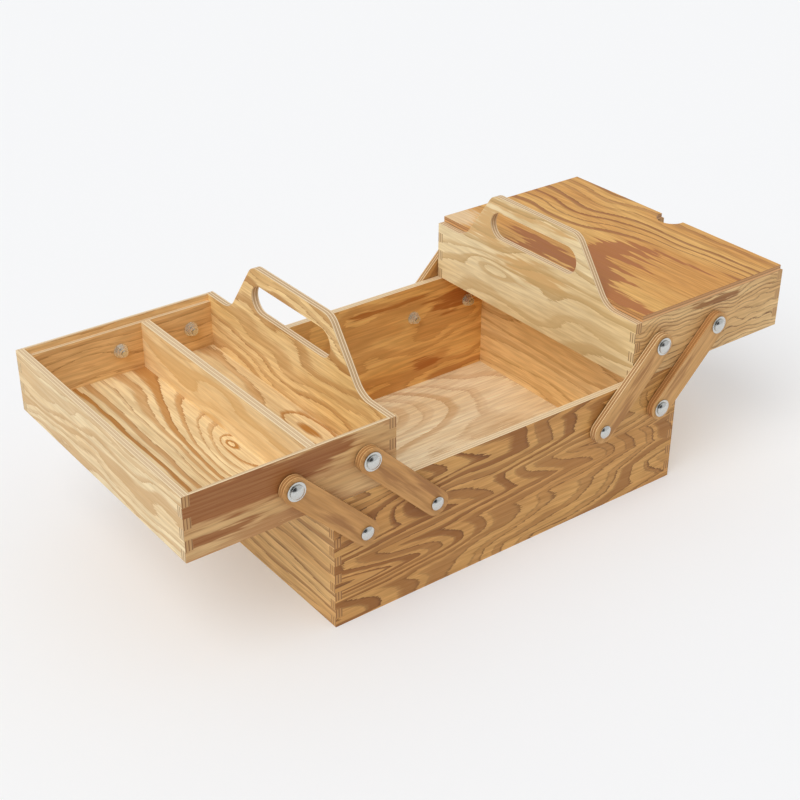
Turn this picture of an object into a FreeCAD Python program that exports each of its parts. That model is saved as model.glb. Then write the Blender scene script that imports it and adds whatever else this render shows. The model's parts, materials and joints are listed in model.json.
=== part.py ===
"""Cantilever tool box of plywood: a finger-jointed base, two trays on swinging arms and a sliding lid.

Millimetres. X runs across the box, the way the trays swing out; Y runs along the two handles; Z is up.
The origin is the middle of the underside. Everything stands as it does with both trays swung out.
"""
import FreeCAD, Part
import Sketcher
import math
import os

doc = FreeCAD.newDocument("ToolBox")

# ---------------------------------------------------------------- driving dimensions
SIZES = [
    ("base_width", 400, "base over its side walls, along X"),
    ("base_depth", 290, "base and trays over their end walls, along Y"),
    ("base_height", 126, "base wall height"),
    ("base_fingers", 14, "fingers in a base corner, counted over both walls"),
    ("wall_ply", 7, "sheet of all walls"),
    ("floor_ply", 8, "sheet of the three floors"),
    ("tray_height", 60, "tray wall height"),
    ("tray_fingers", 6, "fingers in a tray corner, counted over both walls"),
    ("rim_gap", 0.5, "tray underside above the base rim, swung out and closed"),
    ("centre_gap", 1, "between the two handle walls when both trays are closed"),
    ("lip_ply", 3, "what is left of an end wall outside its top rebate"),
    ("rebate_depth", 6, "depth of that rebate, and how far the divider stays below the wall top"),
    ("divider_ply", 9, "sheet of the dividers"),
    ("divider_offset", 27.5, "middle of the divider inwards of the tray's outer pivot"),
    ("handle_rise", 59, "handle top above the wall top"),
    ("handle_top", 120.6, "flat top of the handle, measured to the sharp corners"),
    ("handle_slope", 54.5, "angle of the handle's sides from level"),
    ("handle_corner", 16, "radius of the handle's two top corners"),
    ("handle_foot", 25, "radius where the handle's sides run out into the wall top"),
    ("slot_length", 124, "hand slot, end to end"),
    ("slot_height", 28, "hand slot, and twice its end radius"),
    ("slot_rise", 29.3, "middle of the hand slot above the wall top"),
    ("arm_centres", 96, "between the two pivots of an arm"),
    ("arm_width", 24, "width of an arm, and twice its end radius"),
    ("arm_ply", 7, "sheet of the arms"),
    ("arm_lean", 45, "lean of the arms out from upright"),
    ("pivot_inset", 30, "first tray pivot from the handle wall's outer face"),
    ("pivot_edge", 28.1, "outer base pivot from the base's side face"),
    ("pivot_rise", 32, "tray pivots above the tray underside"),
    ("screw_size", 6, "shank of the pivot bolts"),
    ("pivot_play", 0.05, "radial play of a shank in its holes"),
    ("side_play", 0.05, "play on each face of an arm"),
    ("head_size", 13, "domed bolt head across"),
    ("head_edge", 1.2, "straight rim of that head"),
    ("head_dome", 2.4, "rise of the dome above the rim"),
    ("spacer_size", 13, "washer between wall and arm, across"),
    ("spacer_ply", 1, "thickness of that spacer washer"),
    ("washer_size", 17.5, "washer under a head, across"),
    ("washer_ply", 1.2, "thickness of the washers under heads and nuts"),
    ("inner_washer_size", 14, "washer under a nut, across"),
    ("nut_radius", 5.6, "hexagon nut from its middle to a corner"),
    ("nut_height", 4.2, "hexagon part of a nut"),
    ("collar_size", 8.6, "round locking collar of a nut, across"),
    ("collar_height", 1.6, "height of that collar"),
    ("shank_end", 0.8, "shank past the collar"),
    ("lid_ply", 6, "sheet of the lid"),
    ("lid_play", 0.3, "lid to handle wall, closed"),
    ("lid_float", 0.1, "lid above the wall tops"),
    ("lid_setback", 4, "lid's outer edge short of the outer wall's outer face"),
    ("lid_travel", 65, "how far the lid slides out"),
    ("runner_play", 0.3, "play round the lid's two runners"),
    ("notch_width", 30, "finger notch in lid and outer wall"),
    ("notch_depth", 17, "finger notch into the lid's edge"),
    ("scoop_depth", 18.5, "finger scoop down into the outer wall"),
]
# Lengths that follow from the ones above, in the order in which they need each other.
DERIVED = [
    ("tray_width", "=base_width / 2 - centre_gap / 2"),
    ("tray_reach", "=centre_gap / 2 + 2 * arm_centres * sin(arm_lean)"),
    ("tray_level", "=base_height + rim_gap"),
    ("base_pivot_reach", "=tray_reach + pivot_inset - arm_centres * sin(arm_lean)"),
    ("pivot_spacing", "=base_width / 2 - pivot_edge - base_pivot_reach"),
    ("divider_place", "=pivot_inset + pivot_spacing - divider_offset"),
    ("base_pivot_level", "=tray_level + pivot_rise - arm_centres * cos(arm_lean)"),
    ("base_finger", "=base_height / round(base_fingers)"),
    ("tray_finger", "=tray_height / round(tray_fingers)"),
    ("half_depth", "=base_depth / 2"),
    ("inner_half_depth", "=base_depth / 2 - wall_ply"),
    ("inner_half_width", "=base_width / 2 - wall_ply"),
    ("inner_tray_width", "=tray_width - wall_ply"),
    ("ledge_level", "=tray_height - rebate_depth"),
    ("arm_face", "=base_depth / 2 + spacer_ply + side_play"),
    ("head_face", "=arm_face + arm_ply + side_play"),
    ("nut_face", "=inner_half_depth - washer_ply"),
    ("nut_end", "=nut_face - nut_height"),
    ("hole_radius", "=screw_size / 2 + pivot_play"),
    ("lid_level", "=tray_height + lid_float"),
    ("lid_edge", "=tray_width - lid_setback"),
    ("runner_end", "=inner_tray_width - lid_travel - runner_play"),
]

sheet = doc.addObject("Spreadsheet::Sheet", "Sizes")
for row, (alias, value, note) in enumerate(SIZES, start=1):
    sheet.set(f"A{row}", alias)
    sheet.set(f"B{row}", str(value))
    sheet.setAlias(f"B{row}", alias)
    sheet.set(f"C{row}", note)
for row, (alias, formula) in enumerate(DERIVED, start=len(SIZES) + 2):
    sheet.set(f"A{row}", alias)
    sheet.set(f"B{row}", formula)
    sheet.setAlias(f"B{row}", alias)
doc.recompute()

parts = []


def bound(text):
    """The same formula with each alias written as a cell of the sheet."""
    words = {alias for alias, *_ in SIZES} | {alias for alias, _ in DERIVED}
    out = ""
    word = ""
    for letter in text + " ":
        if letter.isalpha() or letter == "_":
            word += letter
            continue
        out += f"Sizes.{word}" if word in words else word
        word = ""
        out += letter
    return out.strip()


def size(text):
    """What a formula of aliases comes to at present."""
    return float(sheet.evalExpression(text))


# ---------------------------------------------------------------- making a piece
def new_piece(label):
    """A body of its own for one piece or one group of like pieces."""
    body = doc.addObject("PartDesign::Body", label)
    body.Label = label
    body.AllowCompound = True
    parts.append(body)
    return body


def origin_of(body, role):
    return next(item for item in body.Origin.OriginFeatures if item.Role == role)


def new_sketch(body, role, lift="0"):
    """An empty sketch on one of the body's origin planes, lifted along the plane's normal."""
    sketch = body.newObject("Sketcher::SketchObject", f"{body.Name}_sketch")
    sketch.AttachmentSupport = [(origin_of(body, role), "")]
    sketch.MapMode = "FlatFace"
    sketch.setExpression("AttachmentOffset.Base.z", bound(lift))
    return sketch


def pin(sketch, kind, where, text):
    """A driving constraint whose value is a formula of the sheet."""
    index = sketch.addConstraint(Sketcher.Constraint(kind, *where, size(text)))
    sketch.setExpression(f"Constraints[{index}]", bound(text))


def place_point(sketch, curve, end, across, up):
    pin(sketch, "DistanceX", (-1, 1, curve, end), across)
    pin(sketch, "DistanceY", (-1, 1, curve, end), up)


def rectangle(sketch, left, right, low, high):
    """A rectangle whose four sides lie at the given formulas."""
    x0, x1, y0, y1 = (size(side) for side in (left, right, low, high))
    corners = [(x0, y0), (x1, y0), (x1, y1), (x0, y1)]
    first = sketch.GeometryCount
    for start, end in zip(corners, corners[1:] + corners[:1]):
        sketch.addGeometry(Part.LineSegment(FreeCAD.Vector(*start, 0), FreeCAD.Vector(*end, 0)))
    for side in range(4):
        following = first + (side + 1) % 4
        sketch.addConstraint(Sketcher.Constraint("Coincident", first + side, 2, following, 1))
        sketch.addConstraint(Sketcher.Constraint("Vertical" if side % 2 else "Horizontal", first + side))
    place_point(sketch, first, 1, left, low)
    place_point(sketch, first + 1, 2, right, high)


def circle(sketch, across, up, radius):
    index = sketch.addGeometry(Part.Circle(
        FreeCAD.Vector(size(across), size(up), 0), FreeCAD.Vector(0, 0, 1), size(radius)))
    place_point(sketch, index, 3, across, up)
    pin(sketch, "Radius", (index,), radius)


def slot(sketch, start, end, radius):
    """A round-ended slot: two arcs about the given centres, joined by two tangent lines."""
    centres = [FreeCAD.Vector(size(across), size(up), 0) for across, up in (start, end)]
    swing = size(radius)
    way = centres[1] - centres[0]
    heading = math.atan2(way.y, way.x)
    first = sketch.GeometryCount
    for centre, turn in zip(centres, (math.pi / 2, -math.pi / 2)):
        arc = Part.Circle(centre, FreeCAD.Vector(0, 0, 1), swing)
        sketch.addGeometry(Part.ArcOfCircle(arc, heading + turn, heading + turn + math.pi))
    side = FreeCAD.Vector(-math.sin(heading), math.cos(heading), 0) * swing
    sketch.addGeometry(Part.LineSegment(centres[0] - side, centres[1] - side))
    sketch.addGeometry(Part.LineSegment(centres[1] + side, centres[0] + side))
    for arc_end, line_end in (((0, 2), (2, 1)), ((2, 2), (1, 1)), ((1, 2), (3, 1)), ((3, 2), (0, 1))):
        sketch.addConstraint(Sketcher.Constraint(
            "Tangent", first + arc_end[0], arc_end[1], first + line_end[0], line_end[1]))
    place_point(sketch, first, 3, *start)
    place_point(sketch, first + 1, 3, *end)
    pin(sketch, "Radius", (first,), radius)


def feature(body, kind, profile, **settings):
    """A feature of the body made from a profile, which becomes the body's tip."""
    made = body.newObject(f"PartDesign::{kind}", f"{body.Name}_{kind}")
    made.Profile = profile
    for name, value in settings.items():
        setattr(made, name, value)
    body.Tip = made
    return made


def pad(body, sketch, thickness, turned=False):
    made = feature(body, "Pad", sketch, Reversed=turned)
    made.setExpression("Length", bound(thickness))
    doc.recompute()
    return made


def cut(body, sketch, depth=None, turned=False):
    """A pocket as deep as a formula says, or through everything on both sides of its sketch."""
    before = body.Shape.Volume
    if depth:
        made = feature(body, "Pocket", sketch, Reversed=turned)
        made.setExpression("Length", bound(depth))
    else:
        made = feature(body, "Pocket", sketch, Type="ThroughAll", Midplane=True)
    doc.recompute()
    if not made.Shape.Volume < before:
        raise RuntimeError(f"{body.Label}: a pocket cuts nothing")
    return made


def turn_about(body, sketch, axis="V_Axis"):
    """A full turn of a profile about one of its sketch's own axes."""
    made = feature(body, "Revolution", sketch, ReferenceAxis=(sketch, [axis]), Angle=360)
    doc.recompute()
    return made


def row_of(body, role, spacing, count):
    """A straight row along an origin axis, as a pattern that is not yet placed."""
    pattern = body.newObject("PartDesign::LinearPattern", f"{body.Name}_row")
    pattern.Direction = (origin_of(body, role), [""])
    pattern.Mode = "Spacing"
    pattern.setExpression("Offset", bound(spacing))
    pattern.setExpression("Occurrences", bound(count))
    return pattern


def mirror_of(body, role):
    mirror = body.newObject("PartDesign::Mirrored", f"{body.Name}_mirror")
    mirror.MirrorPlane = (origin_of(body, role), [""])
    return mirror


def repeat(body, originals, steps):
    """The given features again, by each step in turn: a row, then a mirror image."""
    many = body.newObject("PartDesign::MultiTransform", f"{body.Name}_repeat")
    many.Originals = originals
    body.Tip = many
    many.Transformations = [step() for step in steps]
    body.Tip = many
    doc.recompute()
    return many


def stand(body, side, across="0", along="0", up="0"):
    """Put a piece in place: as drawn on the right, and turned half round about Z on the left."""
    sign = "" if side == "right" else "-1 * "
    angle = 0 if side == "right" else 180
    body.Placement = FreeCAD.Placement(FreeCAD.Vector(), FreeCAD.Rotation(FreeCAD.Vector(0, 0, 1), angle))
    body.setExpression("Placement.Base.x", bound(f"{sign}({across})"))
    body.setExpression("Placement.Base.y", bound(f"{sign}({along})"))
    body.setExpression("Placement.Base.z", bound(up))


def drawn_near(side, end):
    """Whether a piece at this end is drawn at -Y, before a left-hand piece is turned round."""
    return (end == "near") == (side == "right")


# ---------------------------------------------------------------- panels with finger joints
def end_wall(label, near, left, right, height, finger, count):
    """A wall across the box: it gives way to the side walls' fingers at every second finger."""
    body = new_piece(label)
    outline = new_sketch(body, "XZ_Plane", "half_depth" if near else "-1 * half_depth")
    rectangle(outline, left, right, "0", height)
    pad(body, outline, "wall_ply", turned=near)
    for inner, outer in ((left, f"{left} + wall_ply"), (f"{right} - wall_ply", right)):
        notch = new_sketch(body, "XZ_Plane")
        rectangle(notch, inner, outer, finger, f"2 * {finger}")
        first = cut(body, notch)
        repeat(body, [first], [
            lambda: row_of(body, "Z_Axis", f"2 * {finger}", f"floor(round({count}) / 2)")])
    return body


def finger_notches(body, finger, count):
    """A side wall gives way to the end walls' fingers, from the lowest finger up, at both its ends."""
    notch = new_sketch(body, "YZ_Plane")
    rectangle(notch, "inner_half_depth", "half_depth", "0", finger)
    first = cut(body, notch)
    repeat(body, [first], [
        lambda: row_of(body, "Z_Axis", f"2 * {finger}", f"ceil(round({count}) / 2)"),
        lambda: mirror_of(body, "XZ_Plane"),
    ])


def floor_panel(label, left, right):
    body = new_piece(label)
    outline = new_sketch(body, "XY_Plane")
    rectangle(outline, left, right, "-1 * inner_half_depth", "inner_half_depth")
    pad(body, outline, "floor_ply")
    return body


def bolt_holes(body, first, second, level):
    holes = new_sketch(body, "XZ_Plane")
    circle(holes, first, level, "hole_radius")
    circle(holes, second, level, "hole_radius")
    return holes


# ---------------------------------------------------------------- the base
def base_end_wall(end):
    body = end_wall(f"base_{end}_wall", end == "near", "-1 * base_width / 2", "base_width / 2",
                    "base_height", "base_finger", "base_fingers")
    for sign in ("", "-1 * "):
        holes = bolt_holes(body, f"{sign}base_pivot_reach", f"{sign}(base_pivot_reach + pivot_spacing)",
                           "base_pivot_level")
        cut(body, holes)


def base_side_wall(side):
    body = new_piece(f"base_{side}_wall")
    outline = new_sketch(body, "YZ_Plane", "inner_half_width")
    rectangle(outline, "-1 * half_depth", "half_depth", "0", "base_height")
    pad(body, outline, "wall_ply")
    finger_notches(body, "base_finger", "base_fingers")
    stand(body, side)


for end in ("near", "far"):
    base_end_wall(end)
for side in ("left", "right"):
    base_side_wall(side)
floor_panel("base_floor", "-1 * inner_half_width", "inner_half_width")


# ---------------------------------------------------------------- the trays
# A tray is drawn from the outer face of its handle wall, outwards along +X, from its underside up.
def tray_end_wall(side, end):
    near = drawn_near(side, end)
    body = end_wall(f"{side}_tray_{end}_wall", near, "0", "tray_width",
                    "tray_height", "tray_finger", "tray_fingers")
    cut(body, bolt_holes(body, "pivot_inset", "pivot_inset + pivot_spacing", "pivot_rise"))
    rebate = new_sketch(body, "XZ_Plane", "inner_half_depth" if near else "-1 * inner_half_depth")
    rectangle(rebate, "wall_ply", "inner_tray_width", "ledge_level", "tray_height")
    cut(body, rebate, "wall_ply - lip_ply", turned=near)
    stand(body, side, across="tray_reach", up="tray_level")


def tray_outer_wall(side):
    body = new_piece(f"{side}_tray_outer_wall")
    outline = new_sketch(body, "YZ_Plane", "inner_tray_width")
    rectangle(outline, "-1 * half_depth", "half_depth", "0", "tray_height")
    pad(body, outline, "wall_ply")
    finger_notches(body, "tray_finger", "tray_fingers")
    if side == "right":
        scoop = new_sketch(body, "YZ_Plane")
        slot(scoop, ("0", "tray_height - scoop_depth + notch_width / 2"), ("0", "tray_height + notch_width"),
             "notch_width / 2")
        cut(body, scoop)
    stand(body, side, across="tray_reach", up="tray_level")


# The handle's arcs are centred at these places along Y: each sharp corner, less or more the length
# that its rounding takes.
HANDLE_CORNER_AT = "handle_top / 2 - handle_corner * tan(handle_slope / 2)"
HANDLE_FOOT_AT = ("handle_top / 2 + handle_rise / tan(handle_slope)"
                  " + handle_foot * tan(handle_slope / 2)")


def handle_outline(sketch):
    """Half of the handle above the wall top: foot fillet, sloping side, rounded corner and flat top."""
    slope = math.radians(size("handle_slope"))
    out = FreeCAD.Vector(math.sin(slope), math.cos(slope), 0)
    foot = FreeCAD.Vector(size(HANDLE_FOOT_AT), size("tray_height + handle_foot"), 0)
    corner = FreeCAD.Vector(size(HANDLE_CORNER_AT), size("tray_height + handle_rise - handle_corner"), 0)
    upward = FreeCAD.Vector(0, 0, 1)
    side_low = foot - out * size("handle_foot")
    side_high = corner + out * size("handle_corner")
    wall_top = size("tray_height")
    handle_top = size("tray_height + handle_rise")
    base_line = (FreeCAD.Vector(0, wall_top, 0), FreeCAD.Vector(foot.x, wall_top, 0))
    top_line = (FreeCAD.Vector(corner.x, handle_top, 0), FreeCAD.Vector(0, handle_top, 0))
    foot_arc = Part.ArcOfCircle(Part.Circle(foot, upward, size("handle_foot")),
                                math.pi * 1.5 - slope, math.pi * 1.5)
    corner_arc = Part.ArcOfCircle(Part.Circle(corner, upward, size("handle_corner")),
                                  math.pi / 2 - slope, math.pi / 2)
    bottom = sketch.addGeometry(Part.LineSegment(*base_line))
    foot_curve = sketch.addGeometry(foot_arc)
    flank = sketch.addGeometry(Part.LineSegment(side_low, side_high))
    corner_curve = sketch.addGeometry(corner_arc)
    top = sketch.addGeometry(Part.LineSegment(*top_line))
    middle = sketch.addGeometry(Part.LineSegment(top_line[1], base_line[0]))
    sketch.addConstraint(Sketcher.Constraint("Tangent", bottom, 2, foot_curve, 2))
    sketch.addConstraint(Sketcher.Constraint("Tangent", foot_curve, 1, flank, 1))
    sketch.addConstraint(Sketcher.Constraint("Tangent", flank, 2, corner_curve, 1))
    sketch.addConstraint(Sketcher.Constraint("Tangent", corner_curve, 2, top, 1))
    sketch.addConstraint(Sketcher.Constraint("Coincident", top, 2, middle, 1))
    sketch.addConstraint(Sketcher.Constraint("Coincident", middle, 2, bottom, 1))
    sketch.addConstraint(Sketcher.Constraint("Horizontal", bottom))
    sketch.addConstraint(Sketcher.Constraint("Vertical", middle))
    place_point(sketch, bottom, 1, "0", "tray_height")
    place_point(sketch, foot_curve, 3, HANDLE_FOOT_AT, "tray_height + handle_foot")
    place_point(sketch, corner_curve, 3, HANDLE_CORNER_AT, "tray_height + handle_rise - handle_corner")


def tray_handle_wall(side):
    body = new_piece(f"{side}_tray_handle_wall")
    outline = new_sketch(body, "YZ_Plane")
    rectangle(outline, "-1 * half_depth", "half_depth", "0", "tray_height")
    pad(body, outline, "wall_ply")
    half = new_sketch(body, "YZ_Plane")
    handle_outline(half)
    rise = pad(body, half, "wall_ply")
    repeat(body, [rise], [lambda: mirror_of(body, "XZ_Plane")])
    hand = new_sketch(body, "YZ_Plane")
    slot(hand, ("slot_height / 2 - slot_length / 2", "tray_height + slot_rise"),
         ("slot_length / 2 - slot_height / 2", "tray_height + slot_rise"), "slot_height / 2")
    cut(body, hand)
    finger_notches(body, "tray_finger", "tray_fingers")
    stand(body, side, across="tray_reach", up="tray_level")


def tray_floor(side):
    body = floor_panel(f"{side}_tray_floor", "wall_ply", "inner_tray_width")
    stand(body, side, across="tray_reach", up="tray_level")


def tray_divider(side):
    body = new_piece(f"{side}_tray_divider")
    outline = new_sketch(body, "XZ_Plane", "inner_half_depth")
    rectangle(outline, "divider_place - divider_ply / 2", "divider_place + divider_ply / 2",
              "floor_ply", "ledge_level")
    pad(body, outline, "2 * inner_half_depth", turned=True)
    stand(body, side, across="tray_reach", up="tray_level")


for side in ("left", "right"):
    tray_floor(side)
    tray_handle_wall(side)
    tray_outer_wall(side)
    tray_divider(side)
    for end in ("near", "far"):
        tray_end_wall(side, end)


# ---------------------------------------------------------------- the sliding lid of the right tray
def lid_panel():
    body = new_piece("right_lid")
    outline = new_sketch(body, "XY_Plane", "lid_level")
    rectangle(outline, "wall_ply + lid_play", "lid_edge", "-1 * half_depth", "half_depth")
    pad(body, outline, "lid_ply")
    notch = new_sketch(body, "XY_Plane", "lid_level")
    slot(notch, ("lid_edge - notch_depth + notch_width / 2", "0"), ("lid_edge + notch_width", "0"),
         "notch_width / 2")
    cut(body, notch)
    stand(body, "right", across="tray_reach", up="tray_level")


def lid_runner(end):
    """A strip under the lid that runs in the rebate of an end wall and stops at the outer wall."""
    body = new_piece(f"right_lid_{end}_runner")
    near = end == "near"
    outline = new_sketch(body, "XZ_Plane", "inner_half_depth" if near else "-1 * inner_half_depth")
    rectangle(outline, "wall_ply + lid_play", "runner_end", "ledge_level + runner_play", "lid_level")
    pad(body, outline, "wall_ply - lip_ply - runner_play", turned=not near)
    stand(body, "right", across="tray_reach", up="tray_level")


lid_panel()
for end in ("near", "far"):
    lid_runner(end)


# ---------------------------------------------------------------- the arms
def arm(side, pair, end):
    """A round-ended bar between a base pivot and a tray pivot, leaning out with the open tray."""
    body = new_piece(f"{side}_{pair}_arm_{end}")
    tray_pivot = ("arm_centres * sin(arm_lean)", "arm_centres * cos(arm_lean)")
    near = drawn_near(side, end)
    outline = new_sketch(body, "XZ_Plane", "arm_face" if near else "-1 * arm_face")
    slot(outline, ("0", "0"), tray_pivot, "arm_width / 2")
    circle(outline, "0", "0", "hole_radius")
    circle(outline, *tray_pivot, "hole_radius")
    pad(body, outline, "arm_ply", turned=not near)
    step = "0" if pair == "inner" else "pivot_spacing"
    stand(body, side, across=f"base_pivot_reach + {step}", up="base_pivot_level")


for side in ("left", "right"):
    for pair in ("inner", "outer"):
        for end in ("near", "far"):
            arm(side, pair, end)


# ---------------------------------------------------------------- pivot bolts, washers and nuts
# Each set is turned about the axis of its first pivot, at the near end, and repeated from there.
def spread(body, originals, row):
    """The near set again at the far end, and at the second pivot where the set has one."""
    steps = [lambda: mirror_of(body, "XZ_Plane")]
    if row:
        steps.insert(0, lambda: row_of(body, "X_Axis", "pivot_spacing", "2"))
    repeat(body, originals, steps)


def washers(label, side, across, up, row, bore, width, low, high):
    body = new_piece(label)
    section = new_sketch(body, "XY_Plane")
    rectangle(section, bore, f"{width} / 2", low, high)
    spread(body, [turn_about(body, section)], row)
    stand(body, side, across=across, up=up)


def bolts(label, side, across, up, row, head_at):
    """Domed bolts, from the locking collar inside the wall to the head outside the arm."""
    body = new_piece(label)
    section = new_sketch(body, "XY_Plane")
    tip = "shank_end + collar_height - nut_end"
    points = [("0", tip), ("screw_size / 2", tip), ("screw_size / 2", f"-1 * ({head_at})"),
              ("head_size / 2", f"-1 * ({head_at})"), ("head_size / 2", f"-1 * ({head_at} + head_edge)")]
    crown = ("0", f"-1 * ({head_at} + head_edge + head_dome)")
    corners = [FreeCAD.Vector(size(reach), size(level), 0) for reach, level in points]
    for line, (start, finish) in enumerate(zip(corners, corners[1:])):
        section.addGeometry(Part.LineSegment(start, finish))
        place_point(section, line, 1, *points[line])
        if line:
            section.addConstraint(Sketcher.Constraint("Coincident", line - 1, 2, line, 1))
    rim = len(points) - 2
    place_point(section, rim, 2, *points[-1])
    top = FreeCAD.Vector(size(crown[0]), size(crown[1]), 0)
    half = size("head_size / 2")
    rise = size("head_dome")
    swing = (half ** 2 + rise ** 2) / (2 * rise)
    centre = FreeCAD.Vector(0, top.y + swing, 0)
    spread_angle = math.asin(half / swing)
    dome = section.addGeometry(Part.ArcOfCircle(
        Part.Circle(centre, FreeCAD.Vector(0, 0, 1), swing), -math.pi / 2, spread_angle - math.pi / 2))
    section.addConstraint(Sketcher.Constraint("Coincident", rim, 2, dome, 2))
    section.addConstraint(Sketcher.Constraint("PointOnObject", dome, 3, -2))
    place_point(section, dome, 1, *crown)
    axis = section.addGeometry(Part.LineSegment(top, corners[0]))
    section.addConstraint(Sketcher.Constraint("Coincident", dome, 1, axis, 1))
    section.addConstraint(Sketcher.Constraint("Coincident", axis, 2, 0, 1))
    spread(body, [turn_about(body, section)], row)
    stand(body, side, across=across, up=up)


def nuts(label, side, across, up, row):
    """Hexagon locknuts against the inner washers, each with a round collar on its free side."""
    body = new_piece(label)
    hexagon = new_sketch(body, "XZ_Plane", "nut_face")
    radius = size("nut_radius")
    turns = [step * math.pi / 3 for step in range(6)]
    corners = [FreeCAD.Vector(radius * math.cos(turn), radius * math.sin(turn), 0) for turn in turns]
    for start, finish in zip(corners, corners[1:] + corners[:1]):
        hexagon.addGeometry(Part.LineSegment(start, finish))
    around = Part.Circle(FreeCAD.Vector(), FreeCAD.Vector(0, 0, 1), radius)
    corner_circle = hexagon.addGeometry(around, True)
    for flat in range(6):
        hexagon.addConstraint(Sketcher.Constraint("Coincident", flat, 2, (flat + 1) % 6, 1))
        hexagon.addConstraint(Sketcher.Constraint("PointOnObject", flat, 1, corner_circle))
    for flat in range(1, 6):
        hexagon.addConstraint(Sketcher.Constraint("Equal", 0, flat))
    hexagon.addConstraint(Sketcher.Constraint("Horizontal", 1))
    place_point(hexagon, corner_circle, 3, "0", "0")
    pin(hexagon, "Radius", (corner_circle,), "nut_radius")
    circle(hexagon, "0", "0", "hole_radius")
    flats = pad(body, hexagon, "nut_height", turned=True)
    section = new_sketch(body, "XY_Plane")
    rectangle(section, "hole_radius", "collar_size / 2", "-1 * nut_end", "collar_height - nut_end")
    collar = turn_about(body, section)
    spread(body, [flats, collar], row)
    stand(body, side, across=across, up=up)


# One set is a label, its side, the reach and level of its first pivot, whether a second pivot follows
# one spacing further out, and whether its bolts carry a washer under the head.
TRAY_PIVOT = ("tray_reach + pivot_inset", "tray_level + pivot_rise")
BASE_PIVOT = ("base_pivot_reach", "base_pivot_level")
BASE_OUTER_PIVOT = ("base_pivot_reach + pivot_spacing", "base_pivot_level")
SETS = [
    ("left_tray", "left", TRAY_PIVOT, True, True),
    ("right_tray", "right", TRAY_PIVOT, True, True),
    ("base_left", "left", BASE_PIVOT, True, False),
    ("base_right_inner", "right", BASE_PIVOT, False, False),
    ("base_right_outer", "right", BASE_OUTER_PIVOT, False, True),
]
for name, side, pivot, row, with_washer in SETS:
    bolts(f"{name}_bolts", side, *pivot, row, "head_face + washer_ply" if with_washer else "head_face")
    if with_washer:
        washers(f"{name}_head_washers", side, *pivot, row, "hole_radius", "washer_size",
                "-1 * (head_face + washer_ply)", "-1 * head_face")
for name, side, pivot in (("left_tray", "left", TRAY_PIVOT), ("right_tray", "right", TRAY_PIVOT),
                          ("base_left", "left", BASE_PIVOT), ("base_right", "right", BASE_PIVOT)):
    washers(f"{name}_spacers", side, *pivot, True, "hole_radius", "spacer_size",
            "-1 * (half_depth + spacer_ply)", "-1 * half_depth")
    washers(f"{name}_nut_washers", side, *pivot, True, "hole_radius", "inner_washer_size",
            "-1 * inner_half_depth", "-1 * nut_face")
    nuts(f"{name}_nuts", side, *pivot, True)


# ---------------------------------------------------------------- check and export
doc.recompute()
for item in doc.Objects:
    if "Invalid" in item.State or "Error" in item.State:
        raise RuntimeError(f"{item.Label}: {item.State}")
for body in parts:
    if body.Shape.isNull() or not body.Shape.isValid():
        raise RuntimeError(f"{body.Label}: no valid shape")
os.makedirs("parts", exist_ok=True)
for body in parts:
    body.Shape.exportStep(f"parts/{body.Label}.step")
    print(f"{body.Label}: {len(body.Shape.Solids)} solid(s), {body.Shape.Volume:.0f} mm3")
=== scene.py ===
import json
import math
import bmesh
import bpy
from mathutils import Matrix, Vector


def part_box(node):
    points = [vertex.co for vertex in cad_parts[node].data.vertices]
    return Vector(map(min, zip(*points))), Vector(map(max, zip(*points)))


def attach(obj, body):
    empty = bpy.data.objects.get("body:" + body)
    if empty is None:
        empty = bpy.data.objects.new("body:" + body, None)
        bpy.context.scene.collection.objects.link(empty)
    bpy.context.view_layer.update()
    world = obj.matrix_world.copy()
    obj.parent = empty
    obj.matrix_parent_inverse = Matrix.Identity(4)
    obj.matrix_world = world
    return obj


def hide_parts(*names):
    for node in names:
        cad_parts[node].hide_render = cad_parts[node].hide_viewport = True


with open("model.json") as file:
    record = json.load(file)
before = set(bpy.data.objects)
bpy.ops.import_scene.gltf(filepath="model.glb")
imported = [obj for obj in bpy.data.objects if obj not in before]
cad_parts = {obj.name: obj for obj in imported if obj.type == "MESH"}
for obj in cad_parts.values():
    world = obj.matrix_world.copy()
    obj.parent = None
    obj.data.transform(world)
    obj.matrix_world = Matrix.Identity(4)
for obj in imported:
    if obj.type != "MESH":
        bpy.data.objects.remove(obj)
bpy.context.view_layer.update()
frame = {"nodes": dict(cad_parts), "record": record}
nodes = frame["nodes"]


# ---------------------------------------------------------------- the plywood
# Softwood plywood, oiled. The face veneer is peeled off the log, so that its growth rings show as waves,
# flames and swirls, and the cross-laid plies show as stripes wherever the sheet is cut.
def put(tree, kind, feeds, **settings):
    """A node with its settings; each input is given a value or the socket that feeds it."""
    made = tree.nodes.new(kind)
    for name, value in settings.items():
        setattr(made, name, value)
    for name, feed in feeds.items():
        if isinstance(feed, bpy.types.NodeSocket):
            tree.links.new(feed, made.inputs[name])
        else:
            made.inputs[name].default_value = feed
    return made.outputs


def calc(tree, operation, *values):
    return put(tree, "ShaderNodeMath", dict(enumerate(values)), operation=operation)[0]


def ramp(tree, value, start, end, low=0.0, high=1.0):
    """A smooth step from low to high, between two values."""
    feeds = {"Value": value, "From Min": start, "From Max": end, "To Min": low, "To Max": high}
    return put(tree, "ShaderNodeMapRange", feeds, interpolation_type="SMOOTHSTEP")[0]


def tint(tree, share, under, over):
    """One colour laid over another."""
    return put(tree, "ShaderNodeMix", {0: share, 6: under, 7: over}, data_type="RGBA")[2]


def stain(red, green, blue):
    """A colour as a paint card gives it, made linear."""
    parts = [part / 255 for part in (red, green, blue)]
    return tuple(part / 12.92 if part < 0.04 else ((part + 0.055) / 1.055) ** 2.4 for part in parts) + (1.0,)


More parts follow.
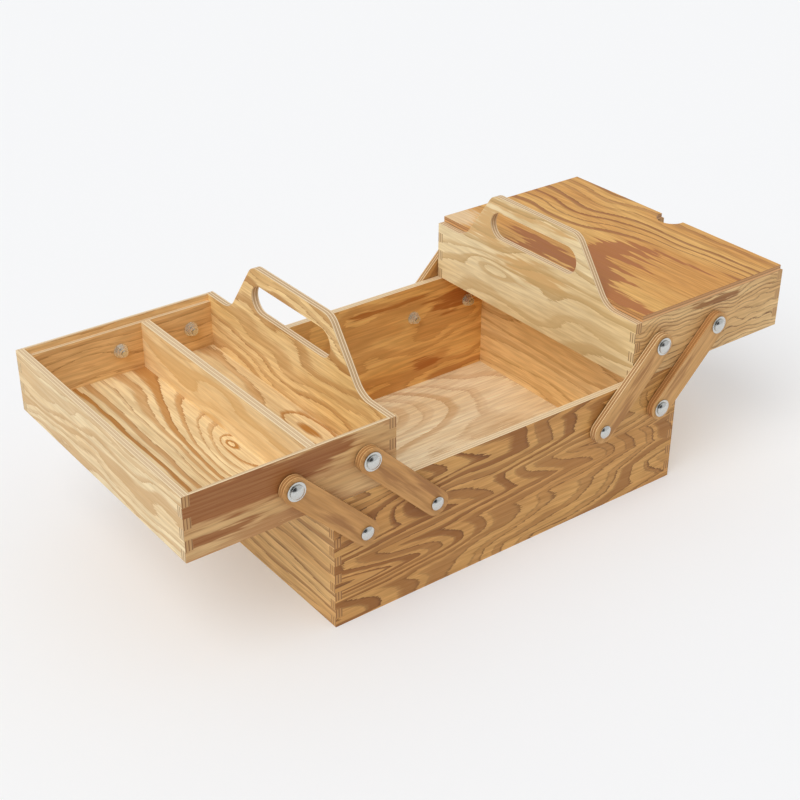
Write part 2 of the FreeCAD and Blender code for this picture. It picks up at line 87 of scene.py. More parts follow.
def effect(name, inputs, outputs):
    """An empty node group: its tree, what it is given and what it gives."""
    tree = bpy.data.node_groups.new(name, "ShaderNodeTree")
    for label, value in inputs.items():
        kind = "NodeSocketVector" if label == "Place" else "NodeSocketFloat"
        socket = tree.interface.new_socket(label, in_out="INPUT", socket_type=kind)
        if value is not None:
            socket.default_value = value
    for label in outputs:
        tree.interface.new_socket(label, in_out="OUTPUT", socket_type="NodeSocketFloat")
    return tree, tree.nodes.new("NodeGroupInput").outputs, tree.nodes.new("NodeGroupOutput").inputs


def streaks(tree, place, seed, length, width, shift, detail=0.0):
    """Noise about zero, drawn out along the grain."""
    along = calc(tree, "DIVIDE", place["X"], length)
    across = calc(tree, "DIVIDE", place["Y"], width)
    layer = calc(tree, "ADD", seed, shift)
    point = put(tree, "ShaderNodeCombineXYZ", {"X": along, "Y": across, "Z": layer})[0]
    cloud = put(tree, "ShaderNodeTexNoise", {"Vector": point, "Scale": 1.0, "Detail": detail})[0]
    return calc(tree, "SUBTRACT", cloud, 0.5)


# Each kind of streak: its length and width in mm, and the layer of noise that it is taken from.
WANDER_STREAKS = (110.0, 60.0, 3.0)
STEEPER_STREAKS = (160.0, 70.0, 15.0)
TORN_STREAKS = (26.0, 1.1, 5.0)
FLAME_STREAKS = (36.0, 3.6, 13.0)
BROAD_FIBRES = (90.0, 1.8, 9.0)
FINE_FIBRES = (45.0, 0.5, 7.0)
TONE_STREAKS = (170.0, 45.0, 11.0)
SEED_STEP = 17.3


def veneer_effect():
    """Growth rings as the contour lines of a wavy surface, each ring pale first and dark at its sharp end."""
    tree, given, gives = effect("veneer_figure", {
        "Place": None, "Seed": 0.0, "Rings Across": 0.05, "Rings Along": 0.0, "Lean": 0.0, "Sway": 6.0,
        "Sway Length": 150.0, "Sway Width": 30.0, "Zigzag": 0.0, "Zigzag Width": 24.0, "Wander": 30.0,
        "Swirls": 0.0, "Ragged": 0.3, "Late": 0.5,
    }, ("Band", "Line", "Fibre", "Tone", "Flame"))
    place = put(tree, "ShaderNodeSeparateXYZ", {0: given["Place"]})
    seed = given["Seed"]

    def noise(length, width, shift, detail=0.0):
        return streaks(tree, place, seed, length, width, shift, detail)

    leaning = calc(tree, "MULTIPLY_ADD", place["X"], given["Lean"], place["Y"])
    slope = calc(tree, "MULTIPLY_ADD", leaning, given["Rings Across"],
                 calc(tree, "MULTIPLY", place["X"], given["Rings Along"]))
    swayed = calc(tree, "MULTIPLY_ADD", noise(given["Sway Length"], given["Sway Width"], 0.0, 1.0),
                  given["Sway"], slope)
    wander = calc(tree, "MULTIPLY_ADD", noise(*WANDER_STREAKS), given["Wander"], leaning)
    teeth = calc(tree, "PINGPONG", calc(tree, "DIVIDE", wander, given["Zigzag Width"]), 1.0)
    steeper = calc(tree, "MULTIPLY_ADD", noise(*STEEPER_STREAKS), 2.4, 1.0)
    steep = calc(tree, "MULTIPLY", given["Zigzag"], steeper)
    toothed = calc(tree, "MULTIPLY_ADD", teeth, steep, swayed)
    torn = calc(tree, "MULTIPLY_ADD", noise(*TORN_STREAKS, 1.0), given["Ragged"], toothed)
    tree.links.new(noise(*FLAME_STREAKS, 2.0), gives["Flame"])
    phase = calc(tree, "ADD", torn, given["Swirls"])
    ring = calc(tree, "FLOOR", phase)
    within = calc(tree, "FRACT", phase)
    chance = put(tree, "ShaderNodeTexWhiteNoise", {"W": calc(tree, "MULTIPLY_ADD", seed, SEED_STEP, ring)},
                 noise_dimensions="1D")["Color"]
    lots = put(tree, "ShaderNodeSeparateColor", {0: chance})
    # By lot, a ring has less or more late wood, and its band and its line are fainter or darker.
    share = calc(tree, "MULTIPLY", given["Late"], calc(tree, "MULTIPLY_ADD", lots[0], 1.2, 0.4))
    into_late = calc(tree, "SUBTRACT", within, calc(tree, "SUBTRACT", 1.0, share))
    late = ramp(tree, into_late, -0.06, 0.12)
    band_depth = calc(tree, "MULTIPLY_ADD", lots[1], 0.75, 0.25)
    tree.links.new(calc(tree, "MULTIPLY", late, band_depth), gives["Band"])
    start = calc(tree, "MULTIPLY", ramp(tree, calc(tree, "ABSOLUTE", into_late), 0.08, 0.0), 0.55)
    edge = calc(tree, "MAXIMUM", ramp(tree, within, 0.86, 1.0), start)
    line_depth = calc(tree, "MULTIPLY_ADD", lots[2], 0.7, 0.3)
    tree.links.new(calc(tree, "MULTIPLY", edge, line_depth), gives["Line"])
    fibres = calc(tree, "MULTIPLY_ADD", noise(*BROAD_FIBRES), 1.2, noise(*FINE_FIBRES))
    tree.links.new(ramp(tree, fibres, -0.35, 0.35), gives["Fibre"])
    tree.links.new(ramp(tree, noise(*TONE_STREAKS, 1.0), -0.16, 0.16), gives["Tone"])
    return tree


def swirl_effect():
    """A hump in the rings' surface about one place, which closes the rings round it."""
    tree, given, gives = effect("swirl", {
        "Place": None, "Along": 0.0, "Across": 0.0, "Length": 60.0, "Width": 20.0, "Rings": 3.0,
    }, ("Height",))
    place = put(tree, "ShaderNodeSeparateXYZ", {0: given["Place"]})
    along = calc(tree, "DIVIDE", calc(tree, "SUBTRACT", place["X"], given["Along"]), given["Length"])
    across = calc(tree, "DIVIDE", calc(tree, "SUBTRACT", place["Y"], given["Across"]), given["Width"])
    far = calc(tree, "MULTIPLY_ADD", along, along, calc(tree, "MULTIPLY", across, across))
    fall = calc(tree, "POWER", math.e, calc(tree, "MULTIPLY", far, -1.0))
    tree.links.new(calc(tree, "MULTIPLY", fall, given["Rings"]), gives["Height"])
    return tree


# The end of a sheet, in mm from its end, and the steps across one ply, in parts of a ply.
END_FACE = (0.06, 0.02)
GLUE_LINE = (0.28, 0.42)
OPEN_GRAIN = (0.42, 0.18)
CROSS_PLY = (0.4, 0.6)
SPECKS_PER_MM = (0.25, 0.25, 3.0)
UNEVEN_PLIES = (25.0, 25.0, 2.0)


def sheet_edge_effect():
    """Where the sheet is cut: thin lines of glue along its sides, and dark end grain at its ends."""
    tree, given, gives = effect("sheet_edge", {
        "Place": None, "Seed": 0.0, "Sheet": 7.0, "Plies": 5.0, "Run": 400.0, "Open": 1.0,
    }, ("End", "Cross", "Lines", "Grain"))
    place = put(tree, "ShaderNodeSeparateXYZ", {0: given["Place"]})
    half = calc(tree, "MULTIPLY", given["Sheet"], 0.5)
    to_end = calc(tree, "MINIMUM", place["X"], calc(tree, "SUBTRACT", given["Run"], place["X"]))
    ends = calc(tree, "MULTIPLY", ramp(tree, to_end, *END_FACE), given["Open"])
    tree.links.new(ends, gives["End"])
    depth = calc(tree, "DIVIDE", calc(tree, "ADD", place["Z"], half), given["Sheet"])
    uneven = calc(tree, "MULTIPLY", streaks(tree, place, given["Seed"], *UNEVEN_PLIES), 0.25)
    level = calc(tree, "MULTIPLY_ADD", depth, given["Plies"], uneven)
    middle = calc(tree, "ABSOLUTE", calc(tree, "SUBTRACT", calc(tree, "FRACT", level), 0.5))
    glue = ramp(tree, middle, *GLUE_LINE)
    turned = calc(tree, "PINGPONG", calc(tree, "SUBTRACT", level, 0.5), 1.0)
    open_grain = ramp(tree, turned, *OPEN_GRAIN)
    striped = calc(tree, "MULTIPLY_ADD", calc(tree, "SUBTRACT", open_grain, glue), ends, glue)
    tree.links.new(striped, gives["Lines"])
    tree.links.new(ramp(tree, turned, *CROSS_PLY), gives["Cross"])
    point = put(tree, "ShaderNodeVectorMath", {0: given["Place"], 1: SPECKS_PER_MM},
                operation="MULTIPLY")[0]
    cloud = put(tree, "ShaderNodeTexNoise", {"Vector": point, "Scale": 1.0, "Detail": 2.0})[0]
    tree.links.new(cloud, gives["Grain"])
    return tree


VENEER = veneer_effect()
SWIRL = swirl_effect()
SHEET_EDGE = sheet_edge_effect()
PLY_CREAM = stain(246, 224, 184)
PLY_BROWN = stain(176, 124, 74)
GLUE_BROWN = stain(120, 78, 42)
CLEAR = (1.13, 1.13, 1.12, 1)
CLOUDED = (0.89, 0.86, 0.81, 1)
MM = 1000
# How the oil takes: where its clouds, calm and pale spots and stains begin and end, and how it shines.
FLAME_SPAN = 0.22
SAWN_FACE = (0.8, 0.6)
CALM_RIM = (0.7, 0.5)
PALE_RIM = (0.3, 0.8)
PALEST = 0.6
TORN_BY_FLAME = 1.4
HALF_STAINED = 0.5
TAKEN_UP = (0.97, 0.8)
END_LINES = 0.85
RUBBED_IN = 0.25
OILED_ROUGHNESS = (0.48, 0.62)
OIL_SHEEN = 0.35
RELIEF = 0.0002
RELIEF_STRENGTH = 0.25


def lies(piece, direction):
    """How far a piece reaches along a direction, lowest and highest, in mm."""
    reach = [MM * corner.co.dot(direction) for corner in piece.data.vertices]
    return min(reach), max(reach)


def humps(tree, place, spots):
    """Several swirls added up: each has its place along and across, its half sizes and its height."""
    height = 0.0
    for spot in spots:
        hump = put(tree, "ShaderNodeGroup", {}, node_tree=SWIRL)[0].node
        tree.links.new(place, hump.inputs["Place"])
        for name, value in zip(("Along", "Across", "Length", "Width", "Rings"), spot):
            hump.inputs[name].default_value = value
        height = calc(tree, "ADD", height, hump.outputs[0])
    return height


def plywood(node, along, across, light, honey, brown, dark, swirls=(), patches=(), calm=(), strength=0.8,
            lines=0.7, fibre=0.24, patch=None, soft=0.07, pale=(), edge=PLY_CREAM, ends=None, plies=5,
            layers=0.35, **figure):
    """One panel's finish: grain along one direction, places in mm from the corner where both start.

    Swirls, patches of stain, calm and pale spots are each given as in humps; the figure is the veneer's.
    """
    piece = nodes[node]
    through = along.cross(across)
    start, end = lies(piece, along)
    low, high = lies(piece, through)
    finish = bpy.data.materials.new(f"{node}_plywood")
    finish.use_nodes = True
    tree = finish.node_tree
    here = put(tree, "ShaderNodeTexCoord", {})
    place = put(tree, "ShaderNodeMapping", {
        "Vector": here["Object"],
        "Location": (-start, -lies(piece, across)[0], -(low + high) / 2),
        "Rotation": Matrix((along, across, through)).to_euler(), "Scale": (MM, MM, MM),
    })[0]
    veneer = put(tree, "ShaderNodeGroup", {}, node_tree=VENEER)[0].node
    tree.links.new(place, veneer.inputs["Place"])
    for name, value in figure.items():
        veneer.inputs[name.replace("_", " ").title()].default_value = value
    if swirls:
        tree.links.new(humps(tree, place, swirls), veneer.inputs["Swirls"])
    cut = put(tree, "ShaderNodeGroup", {}, node_tree=SHEET_EDGE)[0].node
    tree.links.new(place, cut.inputs["Place"])
    for name, value in (("Seed", figure["seed"]), ("Sheet", high - low), ("Plies", plies),
                        ("Run", end - start), ("Open", 1.0 if ends else 0.0)):
        cut.inputs[name].default_value = value
    figured, cut = veneer.outputs, cut.outputs
    facing = put(tree, "ShaderNodeVectorMath", {0: here["Normal"], 1: through}, operation="DOT_PRODUCT")[1]
    sawn = ramp(tree, calc(tree, "ABSOLUTE", facing), *SAWN_FACE)
    cloudy = tint(tree, ramp(tree, figured["Flame"], -FLAME_SPAN, FLAME_SPAN), CLEAR, CLOUDED)
    wood = put(tree, "ShaderNodeVectorMath", {0: tint(tree, figured["Tone"], light, honey), 1: cloudy},
               operation="MULTIPLY")[0]
    if calm:
        spots = calc(tree, "MULTIPLY_ADD", figured["Flame"], 0.4, humps(tree, place, calm))
        still = ramp(tree, spots, *CALM_RIM)
        strength = calc(tree, "MULTIPLY", still, strength)
        lines = calc(tree, "MULTIPLY", still, lines)
    if pale:
        spots = calc(tree, "ADD", figured["Flame"], humps(tree, place, pale))
        bleached = ramp(tree, spots, *PALE_RIM, 0.0, PALEST)
        wood = tint(tree, bleached, wood, PLY_CREAM)
    if patches:
        spots = calc(tree, "MULTIPLY_ADD", figured["Flame"], TORN_BY_FLAME, humps(tree, place, patches))
        stained = ramp(tree, spots, HALF_STAINED - soft, HALF_STAINED + soft)
        taken_up = ramp(tree, figured["Fibre"], 0.1, 0.9, *TAKEN_UP)
        wood = tint(tree, calc(tree, "MULTIPLY", stained, taken_up), wood, patch or brown)
    banded = tint(tree, calc(tree, "MULTIPLY", figured["Band"], strength), wood, brown)
    lined = tint(tree, calc(tree, "MULTIPLY", figured["Line"], lines), banded, dark)
    fibred = tint(tree, calc(tree, "MULTIPLY", figured["Fibre"], fibre), lined, brown)
    long_grain = tint(tree, calc(tree, "MULTIPLY", cut["Cross"], layers), edge, PLY_BROWN)
    rim = tint(tree, cut["End"], long_grain, ends) if ends else long_grain
    shown = calc(tree, "MULTIPLY_ADD", cut["End"], END_LINES - layers, layers) if ends else layers
    glued = tint(tree, calc(tree, "MULTIPLY", cut["Lines"], shown), rim, GLUE_BROWN)
    rubbed = tint(tree, calc(tree, "MULTIPLY", cut["Grain"], RUBBED_IN), glued, PLY_BROWN)
    colour = tint(tree, sawn, fibred, rubbed)
    rough = ramp(tree, figured["Fibre"], 0.0, 1.0, *OILED_ROUGHNESS)
    proud = calc(tree, "MULTIPLY", figured["Band"], 0.5)
    relief = calc(tree, "MULTIPLY_ADD", figured["Fibre"], -0.5, proud)
    normal = put(tree, "ShaderNodeBump", {"Height": relief, "Strength": RELIEF_STRENGTH,
                                          "Distance": RELIEF})[0]
    shader = tree.nodes["Principled BSDF"]
    shader.inputs["Specular IOR Level"].default_value = OIL_SHEEN
    tree.links.new(colour, shader.inputs["Base Color"])
    tree.links.new(rough, shader.inputs["Roughness"])
    tree.links.new(normal, shader.inputs["Normal"])
    piece.data.materials.clear()
    piece.data.materials.append(finish)


# ---------------------------------------------------------------- the base
# An open box of 7 mm plywood, finger-jointed at its corners, with a floor let in between the walls. The long
# walls have a bold zigzag figure on tan, the short ones long dark lines, and the floor is pale.
X = Vector((1, 0, 0))
Y = Vector((0, 1, 0))
Z = Vector((0, 0, 1))
plywood("base_near_wall", X, -Z, stain(218, 168, 100), stain(208, 154, 88), stain(148, 92, 40),
        stain(92, 54, 22), seed=3.1, rings_along=0.025, lean=-0.1, zigzag=1.7, zigzag_width=20.0,
        wander=10.0, sway=2.5, sway_length=110.0, sway_width=40.0, ragged=0.25, late=0.5,
        swirls=[(50, 88, 90, 11, -1.8)], strength=0.95, lines=0.95, ends=stain(206, 160, 100))
# The far wall's near-white gold is partly painted light: its colours are raised to stand in for the stronger
# light that falls inside the box.
plywood("base_far_wall", X, -Z, stain(255, 212, 138), stain(248, 196, 116), stain(192, 118, 52),
        stain(160, 94, 40), seed=8.7, rings_across=0.02, lean=0.1, sway=4.0, sway_length=90.0,
        sway_width=34.0, ragged=0.35, late=0.45, lines=0.2, strength=1.0,
        patches=[(352, 30, 44, 16, 0.85), (255, 14, 60, 4, 0.85), (318, 94, 26, 8, 0.85)], soft=0.12,
        ends=stain(224, 170, 100))
plywood("base_left_wall", -Y, -Z, stain(224, 184, 124), stain(214, 168, 106), stain(156, 106, 58),
        stain(108, 68, 36), seed=5.2, rings_across=0.085, sway=4.0, sway_length=160.0, sway_width=60.0,
        late=0.25, ends=stain(202, 150, 90))
plywood("base_right_wall", -Y, -Z, stain(254, 222, 166), stain(248, 210, 148), stain(206, 158, 96),
        stain(170, 122, 66), seed=14.9, rings_across=0.06, sway=3.0, sway_length=160.0, sway_width=50.0,
        late=0.3, ends=stain(202, 150, 90))
plywood("base_floor", X, -Y, stain(254, 242, 210), stain(248, 230, 192), stain(200, 152, 90),
        stain(180, 130, 74), seed=21.0, rings_across=0.02, sway=1.4, sway_length=90.0, sway_width=50.0,
        late=0.38, lines=0.3, ragged=0.3, swirls=[(150, 30, 170, 62, 7.0)], strength=0.75)


# ---------------------------------------------------------------- the trays
# Two shallow boxes of the same plywood, finger-jointed too. The wall next to the middle rises to a handle
# with a hand slot, a lower divider runs along the inside, and the near and far walls are rebated for a lid.
plywood("left_tray_outer_wall", -Y, -Z, stain(234, 214, 174), stain(228, 200, 154), stain(198, 156, 102),
        stain(176, 134, 84), seed=31.0, rings_across=0.09, lean=0.06, sway=4.0, sway_length=90.0,
        sway_width=30.0, ragged=0.4, late=0.45, ends=stain(200, 156, 104))
plywood("right_tray_outer_wall", -Y, -Z, stain(224, 186, 130), stain(214, 168, 108), stain(178, 126, 72),
        stain(140, 94, 52), seed=32.0, rings_across=0.07, sway=4.0, sway_length=140.0, sway_width=40.0,
        late=0.4, edge=stain(210, 168, 114))
plywood("left_tray_floor", -Y, X, stain(244, 222, 176), stain(240, 212, 160), stain(192, 134, 66),
        stain(142, 88, 38), seed=34.3, rings_across=0.045, sway=1.0, sway_length=60.0, sway_width=26.0,
        late=0.36, ragged=0.3, strength=1.0,
        swirls=[(100, -10, 300, 42, -5), (185, 104, 85, 32, 4.6), (165, 104, 11, 5, 1.0),
                (190, 168, 60, 14, 2)],
        patch=stain(226, 178, 106), patches=[(150, 131, 90, 9, 0.72)])
plywood("right_tray_floor", -Y, X, stain(244, 216, 164), stain(238, 204, 144), stain(206, 150, 80),
        stain(176, 120, 62), seed=34.0, rings_across=0.03, sway=4.0, sway_length=140.0, sway_width=40.0,
        late=0.4)
for side, seed in (("left", 35.0), ("right", 36.0)):
    plywood(f"{side}_tray_divider", -Y, -Z, stain(250, 230, 188), stain(246, 218, 168),
            stain(224, 182, 118), stain(200, 152, 90), seed=seed, rings_across=0.05, sway=3.0,
            sway_length=100.0, sway_width=40.0, late=0.4, lines=0.3)
plywood("left_tray_handle_wall", -Y, -Z, stain(252, 226, 172), stain(242, 208, 144), stain(180, 124, 60),
        stain(156, 102, 48), seed=37.0, rings_across=0.055, lean=-0.12, sway=3.0, sway_length=90.0,
        sway_width=50.0, ragged=0.4, late=0.38, ends=stain(200, 156, 104), layers=0.6)
plywood("right_tray_handle_wall", -Y, -Z, stain(244, 226, 184), stain(236, 210, 160), stain(208, 174, 118),
        stain(158, 124, 70), seed=38.0, rings_across=0.05, lean=0.1, sway=3.4, sway_length=130.0,
        sway_width=44.0, late=0.32, lines=0.4, ragged=0.2, swirls=[(85, 78, 40, 9, 1.6)],
        patch=stain(226, 186, 126), soft=0.16, ends=stain(206, 164, 112), layers=0.6,
        patches=[(42, 46, 30, 7, 0.85), (20, 30, 14, 5, 0.7), (150, 62, 60, 15, 0.85),
                 (150, 6, 90, 5, 0.7), (84, 30, 26, 22, 0.9)])
plywood("left_tray_near_wall", X, -Z, stain(222, 184, 130), stain(212, 170, 114), stain(166, 104, 54),
        stain(140, 88, 44), seed=39.0, rings_across=0.03, sway=1.5, late=0.2, lines=0.15,
        patches=[(50, 14, 90, 17, 1.3), (12, 46, 60, 5, 1.1), (128, 8, 40, 6, 0.7)], soft=0.18,
        patch=stain(148, 86, 36), ends=stain(226, 200, 156))
plywood("right_tray_near_wall", X, -Z, stain(232, 196, 140), stain(222, 180, 122), stain(152, 100, 52),
        stain(96, 60, 30), seed=40.0, rings_across=0.19, sway=6.0, sway_length=48.0, sway_width=36.0,
        late=0.24, ragged=0.3, strength=0.8, lines=0.95, patches=[(105, 6, 50, 6, 0.75)],
        ends=stain(232, 206, 158))
for side, seed in (("left", 44.0), ("right", 45.0)):
    plywood(f"{side}_tray_far_wall", X, -Z, stain(250, 216, 160), stain(242, 202, 144), stain(198, 146, 88),
            stain(156, 104, 56), seed=seed, rings_across=0.08, sway=3.0, sway_length=110.0, sway_width=50.0,
            late=0.25, lines=0.6, strength=0.6, swirls=[(52, 26, 44, 14, 1.6)], ends=stain(232, 206, 158))


# ---------------------------------------------------------------- the lid
# A loose board on top of the right tray, with a finger notch in its outer edge. Two runners glued underneath
# slide in the rebates of the tray's end walls. Long dark lines run along its outer half, and a large
# red-brown flame lies beside the handle.
plywood("right_lid", -Y, X, stain(224, 175, 100), stain(209, 151, 78), stain(146, 86, 44),
        stain(98, 58, 28), seed=41.0, rings_across=0.062, sway=1.6, sway_length=90.0, sway_width=70.0,
        late=0.32, ragged=0.2,
        swirls=[(270, 95, 140, 55, -3.2), (70, 135, 38, 60, 0.8)],
        calm=[(200, 50, 90, 62, 2.0), (110, 30, 60, 40, 1.5), (262, 72, 60, 46, 2.0),
              (20, 16, 50, 30, 1.6)],
        pale=[(6, 10, 34, 26, 1.1)], patch=stain(172, 104, 54), soft=0.08,
        patches=[(215, 8, 44, 12, 1.0), (268, 10, 34, 8, 0.85), (198, 28, 24, 13, 0.95),
                 (178, 46, 22, 13, 0.95), (160, 66, 20, 13, 0.95), (164, 88, 23, 12, 0.95),
                 (190, 107, 30, 7, 0.85), (238, 115, 44, 3, 0.75), (214, 40, 30, 4, 0.9),
                 (208, 54, 28, 3, 0.85), (200, 73, 36, 4, 0.9), (194, 87, 32, 3, 0.85),
                 (196, 97, 28, 3, 0.8), (134, 28, 58, 9, 0.85), (96, 40, 46, 6, 0.8),
                 (110, 16, 36, 4, 0.7)],
        edge=stain(226, 174, 118), plies=2, layers=0.6)
for end, seed in (("near", 43.0), ("far", 46.0)):
    plywood(f"right_lid_{end}_runner", X, Y, stain(226, 184, 124), stain(216, 164, 100),
            stain(172, 104, 60), stain(128, 78, 42), seed=seed)


# ---------------------------------------------------------------- the arms
# Eight round-ended bars sawn from plywood, four to a tray: an inner and an outer one at each end of the box.
# Their faces are smooth tan, and the plies show along their bare edges.
ARM_STAINS = {"inner": [(30, 4, 26, 8, 0.8), (76, 14, 30, 7, 0.7)], "outer": [(48, 16, 34, 6, 0.7)]}
for side, sign, light, honey, bare_edges in (
        ("left", -1, stain(202, 151, 92), stain(193, 139, 80),
         {"inner": stain(220, 178, 120), "outer": stain(224, 180, 122)}),
        ("right", 1, stain(214, 166, 106), stain(204, 153, 93),
         # The right outer arms' bare edge is given a darker tan than the inner ones': painted shade, for the
         # shadow that lies on that edge.
         {"inner": stain(238, 208, 158), "outer": stain(210, 158, 102)})):
    lean = Vector((sign, 0, 1)).normalized()
    for pair, bare in bare_edges.items():
        for end in ("near", "far"):
            plywood(f"{side}_{pair}_arm_{end}", lean, lean.cross(Y), light, honey, stain(160, 108, 56),
                    stain(128, 80, 44), seed=51.0 + sign, rings_across=0.05, sway=3.0, late=0.2, lines=0.12,
                    strength=0.3, fibre=0.12, edge=bare, layers=0.9, patch=stain(168, 116, 66), soft=0.25,
                    patches=ARM_STAINS[pair])


# ---------------------------------------------------------------- the pivots
# M6 bolts with domed heads, each through an arm, a spacer washer and a wall, with a washer and a hexagon
# locknut inside. Heads and their washers are bright zinc plate; spacers, nuts and inner washers are duller.
CLOUDS_PER_METRE = 900.0


def zinc_finish(name, light, dark, smoothest, roughest, metal):
    finish = bpy.data.materials.new(name)
    finish.use_nodes = True
    tree = finish.node_tree
    here = put(tree, "ShaderNodeTexCoord", {})["Object"]
    cloud = put(tree, "ShaderNodeTexNoise", {"Vector": here, "Scale": CLOUDS_PER_METRE, "Detail": 3.0})[0]
    shader = tree.nodes["Principled BSDF"]
    shader.inputs["Metallic"].default_value = metal
    tree.links.new(tint(tree, cloud, light, dark), shader.inputs["Base Color"])
    tree.links.new(ramp(tree, cloud, 0.2, 0.8, smoothest, roughest), shader.inputs["Roughness"])
    return finish


BRIGHT_ZINC = zinc_finish("bright_zinc", stain(221, 220, 215), stain(192, 193, 190), 0.14, 0.26, 1.0)
DULL_ZINC = zinc_finish("dull_zinc", stain(240, 236, 226), stain(222, 216, 204), 0.2, 0.34, 0.75)
TURNING_STEPS = 48
SHANK = 3.0
BORE = 3.05
HEAD = 6.5
HEAD_EDGE = 1.2
DOME_RISE = 2.4
DOME_STEPS = 8
TIP_CHAMFER = 0.6
COLLAR = 4.3
COLLAR_RISE = 1.6
NUT_CHAMFER = 0.577
RIM_ROUND = 0.3
RIM_ANGLE = 28
SAME_PLACE = 0.001


def turn(mesh, outline, axis, end, closed):
    """Spins an outline, given as radius and distance from the middle of the box, round an axis along Y."""
    corners = [mesh.verts.new(axis + Vector((radius, end * level, 0))) for radius, level in outline]
    pairs = list(zip(corners, corners[1:])) + ([(corners[-1], corners[0])] if closed else [])
    lines = [mesh.edges.new(pair) for pair in pairs]
    bmesh.ops.spin(mesh, geom=corners + lines, cent=axis, axis=Y, angle=math.tau, steps=TURNING_STEPS,
                   use_merge=True)


def bolt_outline(tip, crown):
    """From the end of the shank to the top of the dome."""
    rim = crown - DOME_RISE
    seat = rim - HEAD_EDGE
    swing = (HEAD ** 2 + DOME_RISE ** 2) / (2 * DOME_RISE)
    opening = math.asin(HEAD / swing)
    dome = []
    for step in range(1, DOME_STEPS + 1):
        lean = opening * (1 - step / DOME_STEPS)
        dome.append((swing * math.sin(lean), crown - swing * (1 - math.cos(lean))))
    return [(0, tip), (SHANK - TIP_CHAMFER, tip), (SHANK, tip + TIP_CHAMFER), (SHANK, seat), (HEAD, seat),
            (HEAD, rim)] + dome


def ring_outline(radius, low, high):
    return [(BORE, low), (radius, low), (radius, high), (BORE, high)]


def nut_outline(corner, low, high):
    """The collar first, then the hexagon as a round blank; its flats are milled afterwards."""
    shoulder = low + COLLAR_RISE
    flat = corner * math.cos(math.pi / 6)
    return [(BORE, low), (COLLAR, low), (COLLAR, shoulder), (flat, shoulder), (corner, shoulder),
            (corner, high), (BORE, high)]


def mill_flats(mesh, axes, corner, shoulder):
    """Brings the round blank of each nut in to a hexagon, with its free corners chamfered."""
    flat = corner * math.cos(math.pi / 6)
    for vertex in mesh.verts:
        axis = min(axes, key=lambda place: (vertex.co - place).xz.length)
        arm = vertex.co.xz - axis.xz
        if arm.length < flat * 1.001:
            continue
        lean = math.atan2(arm.y, arm.x) % (math.pi / 3) - math.pi / 6
        reach = flat / math.cos(lean)
        arm *= reach / arm.length
        vertex.co.x = axis.x + arm.x
        vertex.co.z = axis.z + arm.y
        if abs(vertex.co.y) < shoulder * 1.0001:
            vertex.co.y = math.copysign(shoulder + (reach - flat) * NUT_CHAMFER, vertex.co.y)


def turned_piece(node, body):
    """The like pieces of one node, at one or two pivots and at both ends of the box."""
    low, high = (corner * MM for corner in map(Vector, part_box(node)))
    levels = [abs(corner.co.y) * MM for corner in nodes[node].data.vertices]
    reach = (high.z - low.z) / 2
    if node.endswith("_nuts"):
        reach /= math.cos(math.pi / 6)
    places = [low.x + reach, high.x - reach] if high.x - low.x > 3 * reach else [(low.x + high.x) / 2]
    axes = [Vector((place, 0, (low.z + high.z) / 2)) for place in places]
    if node.endswith("bolts"):
        outline = bolt_outline(min(levels), max(levels))
    elif node.endswith("_nuts"):
        outline = nut_outline(reach, min(levels), max(levels))
    else:
        outline = ring_outline(reach, min(levels), max(levels))
    mesh = bmesh.new()
    for axis in axes:
        for end in (-1, 1):
            turn(mesh, outline, axis, end, closed=not node.endswith("bolts"))
    if node.endswith("_nuts"):
        mill_flats(mesh, axes, reach, min(levels) + COLLAR_RISE)
    bmesh.ops.remove_doubles(mesh, verts=mesh.verts, dist=SAME_PLACE)
    bmesh.ops.recalc_face_normals(mesh, faces=mesh.faces)
    bmesh.ops.scale(mesh, vec=(1 / MM, 1 / MM, 1 / MM), verts=mesh.verts)
    data = bpy.data.meshes.new(f"{node}_turned")
    mesh.to_mesh(data)
    mesh.free()
    data.materials.append(BRIGHT_ZINC if node.endswith(("bolts", "head_washers")) else DULL_ZINC)
    data.shade_smooth()
    piece = bpy.data.objects.new(f"{node}_turned", data)
    bpy.context.scene.collection.objects.link(piece)
    rims = piece.modifiers.new("rims", "BEVEL")
    rims.width = RIM_ROUND / MM
    rims.segments = 3
    rims.limit_method = "ANGLE"
    rims.angle_limit = math.radians(RIM_ANGLE)
    rims.harden_normals = True
    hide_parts(node)
    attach(piece, body)


for body, held in frame["record"]["behaviour"]["bodies"].items():
    for node in held:
        if node.endswith(("bolts", "washers", "spacers", "_nuts")):
            turned_piece(node, body)


# ---------------------------------------------------------------- the place it is shown in
# A wide floor of pale paper in a white room, under soft light from a window at the upper left. The box is
# looked down on over its near left corner.
FLOOR_REACH = 12.0
PAPER_GREY = (0.706, 0.711, 0.72, 1)
PAPER_ROUGHNESS = 0.9
PAPER_GLOW = 0.21
sweep = bmesh.new()
bmesh.ops.create_grid(sweep, x_segments=1, y_segments=1, size=FLOOR_REACH)
floor = bpy.data.objects.new("studio_floor", bpy.data.meshes.new("studio_floor"))
sweep.to_mesh(floor.data)
sweep.free()
bpy.context.scene.collection.objects.link(floor)
paper = bpy.data.materials.new("studio_paper")
paper.use_nodes = True
paper_shader = paper.node_tree.nodes["Principled BSDF"]
paper_shader.inputs["Base Color"].default_value = PAPER_GREY
paper_shader.inputs["Roughness"].default_value = PAPER_ROUGHNESS
paper_shader.inputs["Emission Color"].default_value = (1, 1, 1, 1)
paper_shader.inputs["Emission Strength"].default_value = PAPER_GLOW
floor.data.materials.append(paper)

room = bpy.data.worlds.new("studio")
bpy.context.scene.world = room
room.use_nodes = True
ROOM_BRIGHTNESS = 0.7
ROOM_WHITE = (0.965, 0.98, 1, 1)
ROOM_DARK = (0.05, 0.05, 0.05, 1)
PAPER_SEEN_FAR = (1.32, 1.33, 1.34, 1)


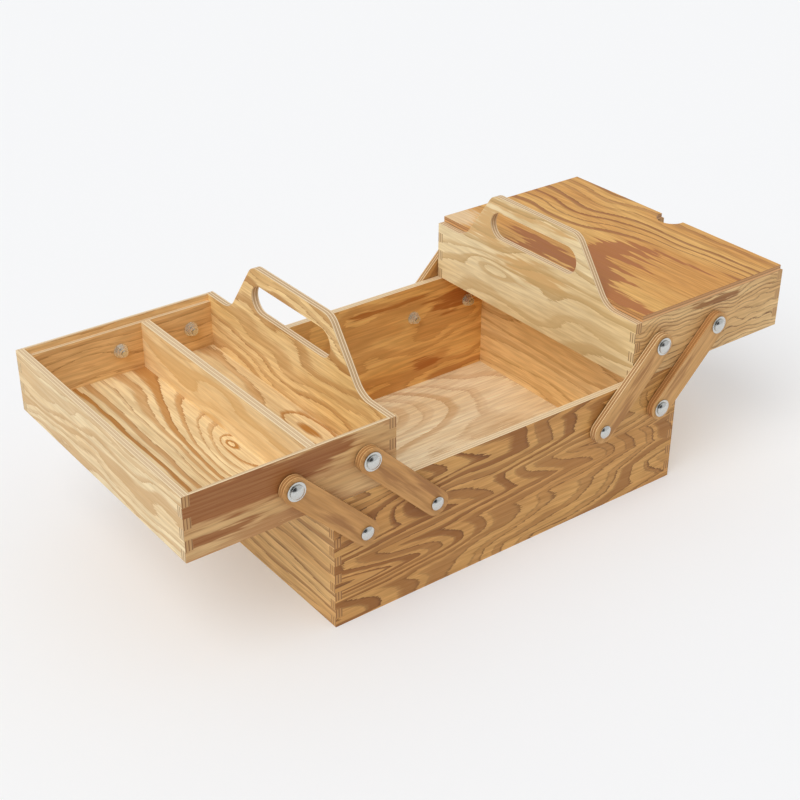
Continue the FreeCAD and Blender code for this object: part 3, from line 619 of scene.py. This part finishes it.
def dark_towards(direction, start, end):
    """The white room with a dark patch in one direction, soft from its rim to its middle."""
    facing = put(room.node_tree, "ShaderNodeVectorMath", {
        0: put(room.node_tree, "ShaderNodeTexCoord", {})["Generated"], 1: Vector(direction).normalized(),
    }, operation="DOT_PRODUCT")[1]
    return tint(room.node_tree, ramp(room.node_tree, facing, start, end), ROOM_WHITE, ROOM_DARK)


rays = put(room.node_tree, "ShaderNodeLightPath", {})
dark_on_wood = dark_towards((-0.55, -0.8, 0.2), 0.74, 0.86)
dark_in_zinc = dark_towards((-0.4, -0.85, 0.35), 0.78, 0.9)
lighting = tint(room.node_tree, rays["Is Glossy Ray"], dark_on_wood, dark_in_zinc)
far_wall = tint(room.node_tree, rays["Is Camera Ray"], lighting, PAPER_SEEN_FAR)
backdrop = room.node_tree.nodes["Background"]
room.node_tree.links.new(far_wall, backdrop.inputs["Color"])
backdrop.inputs["Strength"].default_value = ROOM_BRIGHTNESS

WINDOW_SIDE = Vector((-0.95, -0.35, 1.15))
WINDOW_BRIGHTNESS = 1.68
WINDOW_WIDTH = math.radians(50)
WINDOW_WARMTH = (1.0, 0.985, 0.965)
lamp = bpy.data.lights.new("window", "SUN")
lamp.energy = WINDOW_BRIGHTNESS
lamp.angle = WINDOW_WIDTH
lamp.color = WINDOW_WARMTH
window = bpy.data.objects.new("window", lamp)
window.rotation_euler = WINDOW_SIDE.to_track_quat("Z", "Y").to_euler()
window.visible_glossy = False
bpy.context.scene.collection.objects.link(window)

CAMERA_TURN = math.radians(-37.07)
CAMERA_LIFT = math.radians(29.96)
CAMERA_ROLL = math.radians(0.21)
CAMERA_PLACE = Vector((-0.7564, -0.9707, 0.7968))
FOCAL_PIXELS = 1479.0
FRAME_PIXELS = 800
NEAREST_SEEN = 0.05
away = Vector((math.sin(CAMERA_TURN) * math.cos(CAMERA_LIFT),
               -math.cos(CAMERA_TURN) * math.cos(CAMERA_LIFT), math.sin(CAMERA_LIFT)))
level = Z.cross(away).normalized()
upward = away.cross(level)
right = level * math.cos(CAMERA_ROLL) + upward * math.sin(CAMERA_ROLL)
up = upward * math.cos(CAMERA_ROLL) - level * math.sin(CAMERA_ROLL)
lens = bpy.data.cameras.new("view")
lens.lens = lens.sensor_width * FOCAL_PIXELS / FRAME_PIXELS
lens.clip_start = NEAREST_SEEN
camera = bpy.data.objects.new("view", lens)
camera.matrix_world = Matrix.Translation(CAMERA_PLACE) @ Matrix((right, up, away)).transposed().to_4x4()
bpy.context.scene.collection.objects.link(camera)
bpy.context.scene.camera = camera
bpy.context.scene.view_settings.view_transform = "Standard"
